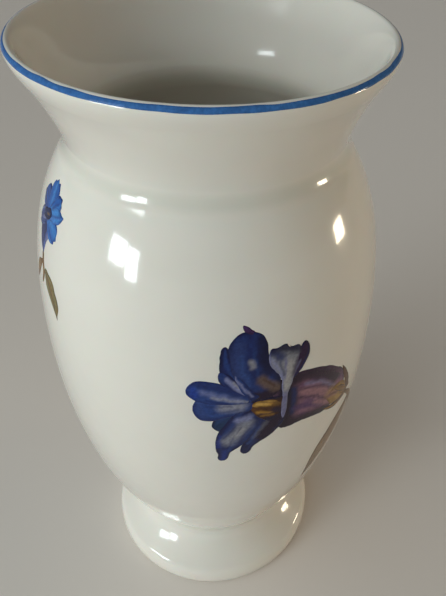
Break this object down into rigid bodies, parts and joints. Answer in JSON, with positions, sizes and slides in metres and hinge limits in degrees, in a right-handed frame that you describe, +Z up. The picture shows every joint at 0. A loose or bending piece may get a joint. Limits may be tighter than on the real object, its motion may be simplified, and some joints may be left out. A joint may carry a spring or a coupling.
{
  "type": "porcelain vase",
  "caption": "Footed porcelain vase with an egg-shaped body, a flared neck, a blue rim line and blue bellflower transfers.",
  "frame": {"origin": "centre of the plane that the foot stands on", "axes": "+Z up along the vase's axis of revolution; -Y is the front, with the bellflower a little to its right"},
  "size_m": [0.128, 0.1282, 0.25],
  "materials": {
    "porcelain_glaze": "creamy white porcelain under a thick clear glaze",
    "blue_line_enamel": "hand-banded cobalt blue line, glossy",
    "petal_enamel": "deep blue transfer enamel with pale streaks, glossy",
    "small_petal_enamel": "bright blue transfer enamel, glossy",
    "leaf_enamel": "olive brown transfer enamel, glossy"
  },
  "bodies": {
    "root": {"foot": "porcelain_glaze", "foot_slip_joint": "porcelain_glaze", "body": "porcelain_glaze", "neck_slip_joint": "porcelain_glaze", "neck": "porcelain_glaze", "rim_line": "blue_line_enamel", "bellflower_blossom": "petal_enamel", "bellflower_stem_and_leaves": "leaf_enamel", "side_flower": "small_petal_enamel", "side_flower_stem": "leaf_enamel", "back_flower": "small_petal_enamel", "back_flower_stem": "leaf_enamel"}
  },
  "joints": []
}
